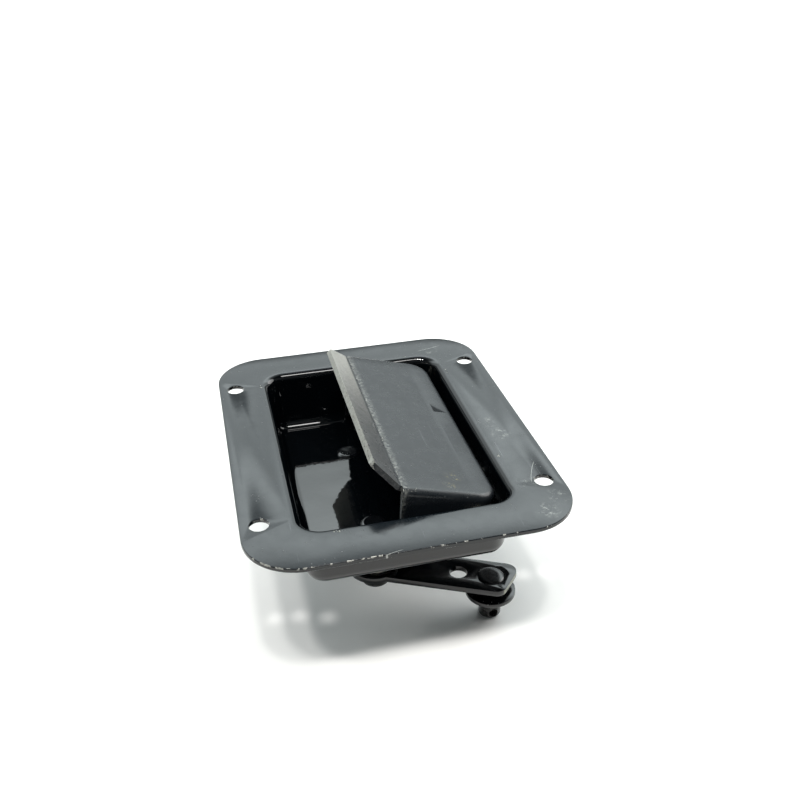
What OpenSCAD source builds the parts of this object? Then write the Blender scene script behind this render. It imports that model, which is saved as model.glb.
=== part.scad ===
// Recessed paddle handle latch: a drawn pan, a spring-returned paddle and a lever arm below the pan.
// The frame's origin is the centre of the flange's back face, with +Z out of the door and +Y along it.

/* [Mounting pan] */
// Flange size across the door edge
flange_w = 108; // [104:0.5:116]
// Flange size along the door edge
flange_l = 140; // [136:0.5:150]
// Radius of the flange's corners
flange_corner_r = 18.6; // [10:0.1:20]
// Thickness of the pan's steel sheet
sheet_t = 1.5; // [1.2:0.1:1.8]
// Width of the recess where the flange turns down
opening_w = 75.2; // [75:0.1:78]
// Length of the recess where the flange turns down
opening_l = 110; // [110:0.5:112]
// Corner radius of the recess where the flange turns down
opening_corner_r = 10; // [9.5:0.1:12]
// Depth from the flange's back face to the recess floor
pan_depth = 21.8; // [21.6:0.1:23]
// Slope of the recess walls
wall_draft = 5.5; // [4:0.1:6]
// Diameter of the four mounting holes
mount_hole_d = 6.35; // [5:0.05:7]
// Distance between the mounting holes across the flange
mount_pitch_x = 95.25; // [94:0.25:96]
// Distance between the mounting holes along the flange
mount_pitch_y = 91; // [85:0.5:100]

/* [Paddle] */
// Length of the paddle along the door edge
paddle_l = 99.4; // [98:0.1:99.6]
// Thickness of the paddle's steel sheet
paddle_t = 1.9; // [1.5:0.1:2]
// Slope of the paddle's face at rest
paddle_slope = 15.5; // [13:0.5:16]
// Distance from the lip's crease to the paddle's hinged edge, along the slope
paddle_w = 34.8; // [34:0.1:35]
// Length of the lip, from the crease to its tip
lip_l = 10.3; // [8:0.1:12]
// Angle that the lip turns up from the paddle's face
lip_turn = 29; // [20:1:35]
// Lowest point of the paddle's side skirts
skirt_bottom_z = -19; // [-19:0.1:-16]
// Opening angle of the paddle
paddle_travel = 36; // [30:1:36]

/* [Hinge] */
// Place of the hinge pin across the pan
hinge_x = 23; // [22:0.1:24]
// Height of the hinge pin
hinge_z = -6.5; // [-7:0.1:-6.4]
// Diameter of the hinge pin
hinge_pin_d = 5; // [4:0.1:5]

/* [Lever arm] */
// Place of the posts across the pan
post_x = -7; // [-8:0.5:-6]
// Distance of each post from the middle of the pan
post_y = 24; // [23:0.5:25]
// Height of the arm's upper face
arm_top_z = -38.9; // [-40:0.1:-38.8]
// Thickness of the arm
arm_t = 2.3; // [2:0.1:2.5]
// Width of the arm
arm_w = 16; // [14:0.5:17]
// Direction of the arm at rest
arm_angle = -26; // [-30:1:-20]
// Distance from the pivot to the rod pin
rod_pin_reach = 42.4; // [41:0.2:44]
// Distance from the pivot to the spare rod hole
spare_hole_reach = 30.8; // [28:0.1:32.5]
// Diameter of the spare rod hole
spare_hole_d = 6.35; // [6:0.05:7.5]
// Slant of the arm's free end
arm_end_slant = 16; // [0:1:20]
// Diameter of the rod pin
rod_pin_d = 7.94; // [7:0.02:8]
// Lowest point of the rod pin
rod_pin_end_z = -55.5; // [-57:0.5:-55]

/* [Hidden] */

$fn = 64;
black_paint = [0.06, 0.07, 0.08];
bare_steel = [0.62, 0.63, 0.64];
zinc_plate = [0.72, 0.71, 0.66];
bronze = [0.60, 0.45, 0.25];
nylon = [0.85, 0.84, 0.80];

fit_gap = 0.05;          // radial clearance of a pin in its hole
face_gap = 0.1;          // clearance between faces that slide past each other
through = 1;             // how far a cutting tool runs past the sheet
rim_r = 3;               // outside radius where the flange turns down
floor_fillet_r = 4;      // inside radius where the wall meets the floor
floor_z = -pan_depth;
corner_x = opening_w / 2 - opening_corner_r;
corner_y = opening_l / 2 - opening_corner_r;
rivet_r = 3;             // riveted shank of each post

skirt_y = paddle_l / 2;  // outer face of the paddle's side skirts
crease_x = -2;
crease_z = 9.2;
edge_bend_r = 2.5;       // outside radius between the paddle's face and its skirts
paddle_corner_r = 8;
lip_bend_r = 2.5;        // inside radius of the lip's crease
lip_tip_half = 41;       // half of the lip's length at its tip
skirt_left_x = -3.5;     // lower front corner of the side skirts
skirt_sweep_r = 12.5;    // round lower corner of the skirts, about the hinge pin
skirt_blank = 34;        // depth of the skirts before they are trimmed

finger_t = 4;
finger_y = 1;            // near face of the drive finger
finger_w = 8;
finger_tip_z = -37.6;
finger_front_x = hinge_x - finger_w / 2;

tab_reach = 41;          // distance from the pivot to the end of the driven leg
tab_start = 22;
tab_face = 6;            // distance from the pivot line to the face that the finger pushes
tab_top_z = -25.8;
leg_angle = 57.4;        // direction of the driven leg at rest

post_r = 5.2;
neck_r = 3.75;
post_shoulder_z = arm_top_z + 1 + face_gap;
arm_bottom_z = arm_top_z - arm_t;
collar_top_z = arm_bottom_z - 1 - 2 * face_gap;
collar_bottom_z = -47;
pivot = [post_x, -post_y];
rod_pin_at = [post_x + rod_pin_reach * cos(arm_angle), -post_y + rod_pin_reach * sin(arm_angle)];
rod_pin_r = rod_pin_d / 2;
rod_shoulder_z = -44.4;  // lower face of the rod pin's shoulder
rod_washer_t = 1.6;
paddle_wire = 1.4;
arm_wire = 1.6;

function arc(c, r, from, to, n) = [for (i = [0:n]) let (a = from + (to - from) * i / n)
    [c[0] + r * cos(a), c[1] + r * sin(a)]];
function face_z(x) = crease_z - (x - crease_x) * tan(paddle_slope);
function under_z(x) = face_z(x) - paddle_t / cos(paddle_slope);

// Rounded rectangle about the origin
module rounded_rect(w, l, r) {
    square([w - 2 * r, l], center = true);
    square([w, l - 2 * r], center = true);
    for (x = [-1, 1], y = [-1, 1])
        translate([x * (w / 2 - r), y * (l / 2 - r)]) circle(r = r);
}

module drill(at, r, top, depth) {
    translate([at[0], at[1], top - depth]) cylinder(r = r, h = depth);
}

// A rod along Y between two places, centred on a point of the XZ plane
module rod_y(x, z, r, y0, y1) {
    translate([x, y1, z]) rotate([90, 0, 0]) cylinder(r = r, h = y1 - y0);
}

module tube_y(x, z, r, bore, y0, y1) {
    difference() {
        rod_y(x, z, r, y0, y1);
        rod_y(x, z, bore, y0 - through, y1 + through);
    }
}

module washer(at, r, bore, z0, z1) {
    difference() {
        translate([at[0], at[1], z0]) cylinder(r = r, h = z1 - z0);
        drill(at, bore, z1 + through, z1 - z0 + 2 * through);
    }
}

// Round wire along a list of points: one ring of points at each, square to the path
module wire(path, d) {
    sides = 8;
    last = len(path) - 1;
    function unit(v) = v / norm(v);
    function heading(i) = unit(path[min(i + 1, last)] - path[max(i - 1, 0)]);
    function side_of(i) = let (h = heading(i))
        unit(cross(h, abs(h[2]) > 0.9 ? [1, 0, 0] : [0, 0, 1]));
    function ring(i) = let (s = side_of(i), u = cross(heading(i), s))
        [for (k = [0:sides - 1]) path[i] + d / 2 * (s * cos(360 * k / sides) + u * sin(360 * k / sides))];
    points = [for (i = [0:last]) each ring(i)];
    walls = [for (i = [0:last - 1], k = [0:sides - 1])
        let (a = i * sides + k, b = i * sides + (k + 1) % sides) [a, a + sides, b + sides, b]];
    ends = [[for (k = [0:sides - 1]) k], [for (k = [sides - 1:-1:0]) last * sides + k]];
    polyhedron(points, concat(walls, ends), convexity = 10);
}

// Section of the formed sheet from the flange to the floor: x is measured out from the corner's axis
roll_c = [opening_corner_r, sheet_t - rim_r];
wall_top = roll_c + rim_r * [-cos(wall_draft), sin(wall_draft)];
wall_run = (wall_top[1] + floor_fillet_r * sin(wall_draft) - floor_z - floor_fillet_r) / cos(wall_draft);
fillet_c = wall_top + wall_run * [-sin(wall_draft), -cos(wall_draft)]
    + floor_fillet_r * [-cos(wall_draft), sin(wall_draft)];
pan_section = concat(
    [[opening_corner_r + 1, 0], [opening_corner_r + 1, sheet_t]],
    arc(roll_c, rim_r, 90, 180 - wall_draft, 5),
    arc(fillet_c, floor_fillet_r, -wall_draft, -90, 5),
    arc(fillet_c, floor_fillet_r + sheet_t, -90, -wall_draft, 5),
    arc(roll_c, rim_r - sheet_t, 180 - wall_draft, 90, 5));

// Runs a section round the recess: four straight walls and four corners
module around_recess(section) {
    for (s = [0, 180]) {
        rotate([0, 0, s]) translate([corner_x, 0, 0]) rotate([90, 0, 0])
            linear_extrude(2 * corner_y, center = true) polygon(section);
        rotate([0, 0, s]) translate([0, corner_y, 0]) rotate([90, 0, 90])
            linear_extrude(2 * corner_x, center = true) polygon(section);
        rotate([0, 0, s]) translate([corner_x, corner_y, 0])
            rotate_extrude(angle = 90) polygon(section);
        rotate([0, 0, s]) translate([-corner_x, corner_y, 0]) rotate([0, 0, 90])
            rotate_extrude(angle = 90) polygon(section);
    }
}

slot_x0 = 4.8;           // slot in the floor that the drive finger sweeps through
slot_x1 = hinge_x + finger_w / 2 + 1;
slot_margin = 2;
module mounting_pan() {
    color(black_paint) difference() {
        union() {
            difference() {
                linear_extrude(sheet_t) rounded_rect(flange_w, flange_l, flange_corner_r);
                translate([0, 0, -through]) linear_extrude(sheet_t + 2 * through)
                    rounded_rect(opening_w, opening_l, opening_corner_r);
            }
            around_recess(pan_section);
            translate([0, 0, floor_z - sheet_t]) linear_extrude(sheet_t)
                rounded_rect(2 * (corner_x + fillet_c[0]), 2 * (corner_y + fillet_c[0]), fillet_c[0]);
        }
        for (x = [-1, 1], y = [-1, 1])
            drill([x * mount_pitch_x / 2, y * mount_pitch_y / 2], mount_hole_d / 2,
                  sheet_t + through, sheet_t + 2 * through);
        for (y = [-1, 1]) drill([post_x, y * post_y], rivet_r, floor_z + through, sheet_t + 2 * through);
        rod_y(hinge_x, hinge_z, hinge_pin_d / 2 + fit_gap, -opening_l / 2, opening_l / 2);
        translate([slot_x0, finger_y - slot_margin, floor_z - sheet_t - through])
            cube([slot_x1 - slot_x0, finger_t + 2 * slot_margin, sheet_t + 2 * through]);
    }
}

head_r = 4.7;
head_h = 0.8;
// Low riveted head and shank that hold a post in the pan's floor
module post_rivet(at) {
    translate([at[0], at[1], 0]) rotate_extrude()
        polygon([[0, floor_z - sheet_t], [rivet_r, floor_z - sheet_t], [rivet_r, floor_z],
                 [head_r, floor_z], [head_r, floor_z + head_h / 2], [head_r - 1, floor_z + head_h],
                 [0, floor_z + head_h]]);
}

module pivot_post() {
    color(bare_steel) {
        post_rivet(pivot);
        drill(pivot, post_r, floor_z - sheet_t, floor_z - sheet_t - post_shoulder_z);
        drill(pivot, neck_r, post_shoulder_z, post_shoulder_z - collar_bottom_z);
    }
}

spring_post_r = 4;
spring_post_z = -37;
module spring_post() {
    at = [post_x, post_y];
    color(bare_steel) {
        post_rivet(at);
        drill(at, spring_post_r, floor_z - sheet_t, floor_z - sheet_t - spring_post_z);
    }
}

pin_seat_y = 53.6;       // where the head and the clip bear, outside the end walls
clip_t = 0.8;
module hinge_pin() {
    r = hinge_pin_d / 2;
    color(zinc_plate) difference() {
        union() {
            rod_y(hinge_x, hinge_z, r, -pin_seat_y - 3, pin_seat_y);
            rod_y(hinge_x, hinge_z, r + 1.5, pin_seat_y, pin_seat_y + 1.6);
        }
        tube_y(hinge_x, hinge_z, r + through, r - 0.6, -pin_seat_y - clip_t - face_gap, -pin_seat_y);
    }
}

module hinge_pin_clip() {
    r = hinge_pin_d / 2 - 0.6;
    color(bare_steel) difference() {
        tube_y(hinge_x, hinge_z, r + 2.4, r, -pin_seat_y - clip_t, -pin_seat_y);
        translate([hinge_x, -pin_seat_y - clip_t - through, hinge_z - r])
            cube([r + 2 * through + 2, clip_t + 2 * through, 2 * r]);
    }
}

washer_t = 1.2;
module hinge_washers() {
    color(nylon) for (s = [0, 180]) rotate([s, 0, 0])
        tube_y(hinge_x, s == 0 ? hinge_z : -hinge_z, hinge_pin_d / 2 + 1.5, hinge_pin_d / 2 + fit_gap,
               skirt_y + face_gap, skirt_y + face_gap + washer_t);
}

// Section of the paddle's edge: the face turns down into a skirt, x out from the corner's axis
skirt_section = concat(
    arc([paddle_corner_r - edge_bend_r, -edge_bend_r], edge_bend_r, 90, 0, 4),
    [[paddle_corner_r, -skirt_blank], [paddle_corner_r - paddle_t, -skirt_blank]],
    arc([paddle_corner_r - edge_bend_r, -edge_bend_r], edge_bend_r - paddle_t, 0, 90, 4));

// The face and its three skirts, flat in the paddle's own frame with the crease along Y
module paddle_shell() {
    ax = paddle_w - paddle_corner_r;
    ay = skirt_y - paddle_corner_r;
    flat_r = paddle_corner_r - edge_bend_r;
    translate([0, 0, -paddle_t]) linear_extrude(paddle_t) {
        translate([0, -ay - flat_r]) square([ax, 2 * (ay + flat_r)]);
        translate([0, -ay]) square([ax + flat_r, 2 * ay]);
        for (y = [-ay, ay]) translate([ax, y]) circle(r = flat_r);
    }
    translate([ax, 0, 0]) rotate([90, 0, 0]) linear_extrude(2 * ay, center = true) polygon(skirt_section);
    translate([0, ay, 0]) rotate([90, 0, 90]) linear_extrude(ax) polygon(skirt_section);
    translate([ax, -ay, 0]) rotate([90, 0, -90]) linear_extrude(ax) polygon(skirt_section);
    translate([ax, ay, 0]) rotate_extrude(angle = 90) polygon(skirt_section);
    translate([ax, -ay, 0]) rotate([0, 0, -90]) rotate_extrude(angle = 90) polygon(skirt_section);
}

// The lip: the sheet carried past the crease and bent up, with its two ends cut back
lip_tangent = lip_bend_r * tan(lip_turn / 2);
lip_dir = [-cos(lip_turn), sin(lip_turn)];
lip_normal = [-sin(lip_turn), -cos(lip_turn)];
lip_tip = lip_l * lip_dir;
lip_section = concat(
    [[lip_tangent + 1, -paddle_t], [lip_tangent + 1, 0]],
    arc([lip_tangent, lip_bend_r], lip_bend_r, -90, -90 - lip_turn, 4),
    [lip_tip, lip_tip + paddle_t * lip_normal],
    arc([lip_tangent, lip_bend_r], lip_bend_r + paddle_t, -90 - lip_turn, -90, 4));
lip_end_half = skirt_y - edge_bend_r;
module lip() {
    cut_x = lip_tip[0] - paddle_t;
    difference() {
        rotate([90, 0, 0]) linear_extrude(2 * lip_end_half, center = true) polygon(lip_section);
        for (s = [0, 1]) mirror([0, s, 0]) translate([0, 0, -paddle_t - through])
            linear_extrude(lip_l + paddle_t)
                polygon([[0, lip_end_half], [cut_x, lip_tip_half], [cut_x, skirt_y], [0, skirt_y]]);
    }
}

// Outlines in the XZ plane of what is trimmed off the deep skirts, below them and in front of them
trim_below = concat(
    [[-40, skirt_bottom_z]],
    arc([hinge_x, hinge_z], skirt_sweep_r, -90, -20, 7),
    [[60, hinge_z - 4], [60, -60], [-40, -60]]);
trim_front = [[crease_x - 0.2, crease_z + 1], [skirt_left_x, skirt_bottom_z - 1],
              [-40, skirt_bottom_z - 1], [-40, crease_z + 1]];
module paddle_handle() {
    color(black_paint) difference() {
        translate([crease_x, 0, crease_z]) rotate([0, paddle_slope, 0]) {
            paddle_shell();
            lip();
        }
        rotate([90, 0, 0]) linear_extrude(2 * skirt_y + through, center = true) polygon(trim_below);
        for (y = [-1, 1]) translate([0, y * (lip_end_half + skirt_y) / 2, 0]) rotate([90, 0, 0])
            linear_extrude(skirt_y - lip_end_half + 0.01, center = true) polygon(trim_front);
        rod_y(hinge_x, hinge_z, hinge_pin_d / 2 + fit_gap, -skirt_y - through, skirt_y + through);
    }
}

// The finger hangs on the hinge pin: its top is welded under the face and its tip works the arm
flange_back_x = 7;
flange_front_x = 27.2;
neck_x = 24.1;           // the finger narrows to pass inside the hinged side's skirt
neck_z = -19.3;
weld_flange_w = 12;
weld_flange_t = 2.2;
weld_end_x = flange_front_x - 2;
finger_arm_z = -14;      // below it the finger is only as wide as its tip
finger_top_h = 3;        // height of the finger's end under the face
module drive_finger() {
    back_x = finger_front_x + finger_w;
    color(black_paint) difference() {
        union() {
            translate([0, finger_y + finger_t, 0]) rotate([90, 0, 0]) linear_extrude(finger_t)
                polygon([[flange_back_x, under_z(flange_back_x)], [flange_front_x, under_z(flange_front_x)],
                         [neck_x, neck_z], [back_x, neck_z - 0.5], [back_x, finger_tip_z],
                         [finger_front_x, finger_tip_z], [finger_front_x, finger_arm_z],
                         [flange_back_x, under_z(flange_back_x) - finger_top_h]]);
            translate([0, finger_y + weld_flange_w, 0]) rotate([90, 0, 0]) linear_extrude(weld_flange_w)
                polygon([[flange_back_x, under_z(flange_back_x)], [weld_end_x, under_z(weld_end_x)],
                         [weld_end_x, under_z(weld_end_x) - weld_flange_t],
                         [flange_back_x, under_z(flange_back_x) - weld_flange_t]]);
        }
        rod_y(hinge_x, hinge_z, hinge_pin_d / 2 + fit_gap, finger_y - through, finger_y + finger_t + through);
    }
}

sleeve_r = 3.8;
module hinge_sleeve(y0, y1) {
    color(nylon) tube_y(hinge_x, hinge_z, sleeve_r, hinge_pin_d / 2 + fit_gap, y0, y1);
}
sleeve_end = skirt_y - paddle_corner_r + 2.8;
module hinge_sleeve_near() { hinge_sleeve(-sleeve_end, finger_y - face_gap); }
module hinge_sleeve_far() { hinge_sleeve(finger_y + finger_t + face_gap, sleeve_end); }

// Torsion spring on the hinge sleeve: one leg under the hinged edge, the other down to the floor
coil_r = sleeve_r + paddle_wire / 2 + 0.3;
coil_steps = 72;         // ten to a turn
spring_start = 22;
module paddle_spring(side) {
    step = 0.108 * paddle_wire;
    coil = [for (i = [0:coil_steps]) let (a = 90 + 36 * i)
        [hinge_x + coil_r * cos(a), side * (spring_start + step * i), hinge_z + coil_r * sin(a)]];
    end_y = side * (spring_start + step * (coil_steps + 0.5));
    floor_leg_z = floor_z + paddle_wire / 2 + 0.2;
    upper_leg = [[hinge_x + 4.6, side * spring_start, hinge_z + 4.2]];
    lower_leg = [[hinge_x - coil_r, end_y, hinge_z], [hinge_x - coil_r, end_y, floor_leg_z + 1.5],
                 [hinge_x - coil_r + 0.7, end_y, floor_leg_z + 0.3], [hinge_x - 0.5, end_y, floor_leg_z]];
    color(bare_steel) wire(concat(upper_leg, coil, lower_leg), paddle_wire);
}
module paddle_spring_near() { paddle_spring(-1); }
module paddle_spring_far() { paddle_spring(1); }

end_corner_r = 4;
arm_end = 50.2;          // distance from the pivot to the middle of the slanted end
hub_r = 10;
bushing_r = 5;
// Flat blank of the arm, with its hub at the origin and its long end along X
module arm_blank() {
    end_off = arm_end * cos(arm_end_slant) - end_corner_r;
    function corner_at(y) = [(end_off + y * sin(arm_end_slant)) / cos(arm_end_slant), y];
    side = arm_w / 2 - end_corner_r;
    circle(r = hub_r);
    polygon(concat(
        [[0, arm_w / 2], [0, -arm_w / 2]],
        arc(corner_at(-side), end_corner_r, -90, -arm_end_slant, 8),
        arc(corner_at(side), end_corner_r, -arm_end_slant, 90, 10)));
}

module actuator_arm() {
    color(black_paint) translate([pivot[0], pivot[1], arm_bottom_z]) difference() {
        union() {
            rotate([0, 0, arm_angle]) linear_extrude(arm_t) arm_blank();
            rotate([0, 0, leg_angle]) {
                translate([0, -tab_face, 0]) cube([tab_reach, 2 * tab_face, arm_t]);
                translate([tab_start, -tab_face, 0])
                    cube([tab_reach - tab_start, arm_t, tab_top_z - arm_bottom_z]);
            }
        }
        translate([0, 0, -through]) cylinder(r = bushing_r, h = arm_t + 2 * through);
        rotate([0, 0, arm_angle]) translate([spare_hole_reach, 0, -through])
            cylinder(r = spare_hole_d / 2, h = arm_t + 2 * through);
        rotate([0, 0, arm_angle]) translate([rod_pin_reach, 0, -through])
            cylinder(r = rod_pin_r, h = arm_t + 2 * through);
    }
}

module arm_bushing() {
    color(bronze) washer(pivot, bushing_r, neck_r + fit_gap, arm_bottom_z, arm_top_z);
}

thrust_r = 7.5;
module thrust_washer_upper() {
    color(zinc_plate) washer(pivot, thrust_r, neck_r, arm_top_z + face_gap, post_shoulder_z);
}
module thrust_washer_lower() {
    color(zinc_plate) washer(pivot, thrust_r, neck_r, collar_top_z, arm_bottom_z - face_gap);
}

module pivot_collar() {
    color(black_paint) washer(pivot, post_r, neck_r, collar_bottom_z, collar_top_z);
}

hook_reach = 20;         // where the spring's lower leg hooks over the arm, from the pivot
// Torsion spring on the pivot post: the upper leg rests on the spring post, the lower leg on the arm
module arm_return_spring() {
    r = post_r + arm_wire / 2 + 1;
    turns = 5.9;
    steps = 59;
    top_z = floor_z - sheet_t - arm_wire / 2 - 0.2;
    bottom_z = -36;
    flat_steps = 3;          // the first steps lie flat below the pan's floor
    drop = (bottom_z - top_z) / (steps - flat_steps);
    coil = [for (i = [0:steps]) let (a = -360 * turns * i / steps)
        [pivot[0] + r * cos(a), pivot[1] + r * sin(a), top_z + drop * max(0, i - flat_steps)]];
    rest_x = post_x + spring_post_r + arm_wire / 2;
    along = [cos(arm_angle), sin(arm_angle)];
    square_on = [-sin(arm_angle), cos(arm_angle)];
    hook = pivot + hook_reach * along + (arm_w / 2 + arm_wire / 2) * square_on;
    bend_z = bottom_z - 0.6;
    color(bare_steel) wire(concat([[rest_x, post_y + 4, top_z]], coil,
        [[hook[0] - 6, hook[1] + 3, bend_z], [hook[0] - 0.6, hook[1] + 0.3, bend_z - 0.8],
         [hook[0], hook[1], bend_z - 1.8], [hook[0], hook[1], arm_bottom_z - 1]]), arm_wire);
}

rod_head_r = 4.8;
rod_head_h = 0.6;
rod_head_ease = 0.8;
rod_shoulder_r = 5.6;
rod_neck_r = 3.2;
rod_neck_h = 1.2;
rod_chamfer = 0.3;       // depth of the tapers either side of the neck
rod_end_ease = 0.8;      // chamfer round the pin's lower end
rod_washer_r = 9;
cross_hole_r = 1.6;
cross_hole_angle = -86;
cross_hole_up = 2.3;     // from the pin's end
cross_drill = 10;
rod_washer_z = rod_shoulder_z - rod_washer_t;
module rod_pin() {
    color(black_paint) translate([rod_pin_at[0], rod_pin_at[1], 0]) difference() {
        rotate_extrude() polygon([
            [0, arm_top_z + rod_head_h], [rod_head_r - rod_head_ease, arm_top_z + rod_head_h],
            [rod_head_r, arm_top_z + rod_head_h / 4], [rod_head_r, arm_top_z], [rod_pin_r, arm_top_z],
            [rod_pin_r, arm_bottom_z], [rod_shoulder_r, arm_bottom_z], [rod_shoulder_r, rod_shoulder_z],
            [rod_pin_r, rod_shoulder_z], [rod_pin_r, rod_washer_z], [rod_neck_r, rod_washer_z - rod_chamfer],
            [rod_neck_r, rod_washer_z - rod_neck_h], [rod_pin_r, rod_washer_z - rod_neck_h - rod_chamfer],
            [rod_pin_r, rod_pin_end_z + rod_end_ease], [rod_pin_r - rod_end_ease, rod_pin_end_z],
            [0, rod_pin_end_z]]);
        rotate([0, 0, cross_hole_angle]) translate([-cross_drill, 0, rod_pin_end_z + cross_hole_up])
            rotate([0, 90, 0]) cylinder(r = cross_hole_r, h = 2 * cross_drill);
    }
}

module rod_pin_washer() {
    color(black_paint) washer(rod_pin_at, rod_washer_r, rod_pin_r, rod_washer_z, rod_shoulder_z);
}

mounting_pan();
pivot_post();
spring_post();
hinge_pin();
hinge_pin_clip();
hinge_washers();
paddle_handle();
drive_finger();
hinge_sleeve_near();
hinge_sleeve_far();
paddle_spring_near();
paddle_spring_far();
actuator_arm();
arm_bushing();
thrust_washer_upper();
thrust_washer_lower();
pivot_collar();
arm_return_spring();
rod_pin();
rod_pin_washer();
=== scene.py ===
import math

import bmesh
import bpy
from mathutils import Euler, Matrix, Vector


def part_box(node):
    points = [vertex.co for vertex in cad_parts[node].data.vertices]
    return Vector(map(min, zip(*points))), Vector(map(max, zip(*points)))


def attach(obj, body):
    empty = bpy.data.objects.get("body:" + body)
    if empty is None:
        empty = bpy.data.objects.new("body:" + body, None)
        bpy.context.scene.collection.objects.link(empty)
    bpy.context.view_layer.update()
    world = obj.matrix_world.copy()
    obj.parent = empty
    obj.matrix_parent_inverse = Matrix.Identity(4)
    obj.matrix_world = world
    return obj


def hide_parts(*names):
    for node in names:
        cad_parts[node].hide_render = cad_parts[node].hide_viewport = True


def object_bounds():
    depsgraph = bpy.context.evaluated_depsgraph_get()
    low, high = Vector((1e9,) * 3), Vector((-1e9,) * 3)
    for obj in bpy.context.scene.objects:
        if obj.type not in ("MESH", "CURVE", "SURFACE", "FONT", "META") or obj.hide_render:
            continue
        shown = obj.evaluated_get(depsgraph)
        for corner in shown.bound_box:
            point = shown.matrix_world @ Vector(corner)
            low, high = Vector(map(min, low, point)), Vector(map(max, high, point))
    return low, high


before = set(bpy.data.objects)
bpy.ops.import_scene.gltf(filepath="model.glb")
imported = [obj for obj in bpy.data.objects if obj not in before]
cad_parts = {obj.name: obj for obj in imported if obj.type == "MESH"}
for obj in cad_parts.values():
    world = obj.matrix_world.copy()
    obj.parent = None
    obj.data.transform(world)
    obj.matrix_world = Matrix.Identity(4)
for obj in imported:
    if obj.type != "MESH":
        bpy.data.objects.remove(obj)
cad_low, cad_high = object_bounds()
scene = bpy.context.scene

MM = 0.001


# Places and sizes that the part's own source gives, in millimetres

def span(node):
    """Lowest and highest corner of a node, in millimetres."""
    low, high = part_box(node)
    return low / MM, high / MM


pan_low, pan_high = span("mounting_pan")
post_low, post_high = span("pivot_post")
pin_low, pin_high = span("hinge_pin")
arm_low, arm_high = span("actuator_arm")
rod_low, rod_high = span("rod_pin")
collar_low, collar_high = span("pivot_collar")

SHEET = 1.5
FLANGE_CORNER = 18.6
OPENING = (37.6, 55.0, 10.0)            # half width, half length and corner radius
WALL_DRAFT = 5.5
RIM_R = 3.0
FILLET_R = 4.0
FLOOR_Z = pan_low.z + SHEET
HOLE_AT = (47.625, 45.5)
HOLE_R = 3.175
POSTS = ((-7.0, -24.0), (-7.0, 24.0))
HINGE = ((pin_low.x + pin_high.x) / 2, (pin_low.z + pin_high.z) / 2)
SLOPE = math.radians(15.5)
CREASE = (-2.0, 9.2)
SKIRT_Y = 49.7
PADDLE_T = 1.9
ARM_TOP = collar_low.z + 8.1
ARM_T = 2.3
ARM_TURN = math.radians(-26.0)
LEG_TURN = math.radians(57.4)
ROD = ((rod_low.x + rod_high.x) / 2, (rod_low.y + rod_high.y) / 2)
ROD_R = 3.97
ROD_REACH = math.hypot(ROD[0] - POSTS[0][0], ROD[1] - POSTS[0][1])
ARM_END = 50.2                          # from the pivot to the middle of the slanted end
END_SLANT = math.radians(16)
washer_at, washer_high = span("rod_pin_washer")
POST_R = 5.2
NECK_R = 3.75
SPRING_POST_R = 4.0
ARM_HALF = 8.0                          # half the arm's width
SPARE_HOLE = (30.8, 3.175)              # reach from the pivot, and radius


# ---------------------------------------------------------------- node helper

def linear(code):
    """An sRGB hex colour as the linear values that a shader takes."""
    parts = [int(code[i:i + 2], 16) / 255 for i in (1, 3, 5)]
    return [c / 12.92 if c <= 0.04045 else ((c + 0.055) / 1.055) ** 2.4 for c in parts] + [1.0]


# Short names for the nodes that recur, with the settings they share. Others go by their own names.
KINDS = {
    "times": ("ShaderNodeMath", {"operation": "MULTIPLY"}),
    "times_plus": ("ShaderNodeMath", {"operation": "MULTIPLY_ADD"}),
    "minus": ("ShaderNodeMath", {"operation": "SUBTRACT"}),
    "size": ("ShaderNodeMath", {"operation": "ABSOLUTE"}),
    "larger": ("ShaderNodeMath", {"operation": "MAXIMUM"}),
    "ramp": ("ShaderNodeMapRange", {"interpolation_type": "SMOOTHSTEP"}),
    "grain": ("ShaderNodeTexNoise", {}),
    "blend": ("ShaderNodeMix", {"data_type": "RGBA"}),
    "relief": ("ShaderNodeBump", {}),
}


def add(tree, kind, inputs=(), **settings):
    """Adds a node. Its inputs come in order, or by name or number, and each is a value or the node or
    socket that feeds it. A ramp takes a value, the start and end it runs between, and its two results."""
    kind, usual = KINDS.get(kind, (kind, {}))
    node = tree.nodes.new(kind)
    for key, value in {**usual, **settings}.items():
        setattr(node, key, value)
    for key, value in inputs.items() if isinstance(inputs, dict) else enumerate(inputs):
        if isinstance(value, bpy.types.Node):
            value = value.outputs[0]
        if isinstance(value, bpy.types.NodeSocket):
            tree.links.new(value, node.inputs[key])
        else:
            node.inputs[key].default_value = value
    return node


def per_mm(size):
    """Scale of a pattern whose cells are this many millimetres across."""
    return 1 / (size * MM)


# ---------------------------------------------------------------- materials

def new_material(name):
    material = bpy.data.materials.new(name)
    material.use_nodes = True
    tree = material.node_tree
    tree.nodes.clear()
    shader = add(tree, "ShaderNodeBsdfPrincipled")
    out = add(tree, "ShaderNodeOutputMaterial", {"Surface": shader})
    out.is_active_output = True
    place = add(tree, "ShaderNodeTexCoord").outputs["Object"]
    return material, tree, shader, place


def near_point(tree, place, point, radius, soft=0.6):
    """1 within a radius of a point, both in millimetres, fading to 0 outside."""
    gap = add(tree, "ShaderNodeVectorMath", {0: place, 1: [c * MM for c in point]}, operation="DISTANCE")
    return add(tree, "ramp", (gap.outputs["Value"], radius * MM, radius * MM * (1 - soft)))


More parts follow.
